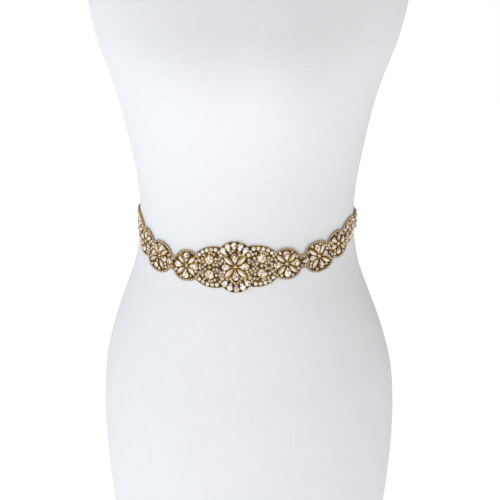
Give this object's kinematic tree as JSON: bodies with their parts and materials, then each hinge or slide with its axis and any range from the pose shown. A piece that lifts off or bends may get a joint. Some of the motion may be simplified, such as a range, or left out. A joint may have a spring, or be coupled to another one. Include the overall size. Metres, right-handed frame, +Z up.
{
  "type": "bridal sash on a dress form",
  "caption": "Bridal sash of crystal and pearl applique with a white satin ribbon tied in a bow behind, worn on a limbless linen-covered dress form.",
  "frame": {"origin": "centre of the object's footprint, at the flat base of the dress form", "axes": "+Z up, -Y out of the front of the sash, +X towards the viewer's right seen from the front"},
  "size_m": [0.3522, 0.257, 0.79],
  "materials": {
    "linen": "matte fine linen weave",
    "satin": "soft satin sheen",
    "crystal": "clear and champagne crystals",
    "gold": "polished gold settings and beads",
    "pearl": "pearl lustre",
    "net": "fine net"
  },
  "bodies": {
    "root": {"dress_form": "linen", "motif_medallion": "crystal", "motif_panel_left": "crystal", "motif_panel_right": "crystal", "motif_flower_left": "crystal", "motif_flower_right": "crystal", "motif_link_left": "crystal", "motif_link_right": "crystal", "motif_blossom_left": "crystal", "motif_blossom_right": "crystal", "motif_spray_left": "crystal", "motif_spray_right": "crystal", "motif_leaf_left": "crystal", "motif_leaf_right": "crystal", "motif_end_left": "crystal", "motif_end_right": "crystal", "ribbon_left": "satin", "ribbon_right": "satin", "bow_knot": "satin", "loop_left": "satin", "loop_right": "satin", "tail_left": "satin", "tail_right": "satin"}
  },
  "joints": []
}
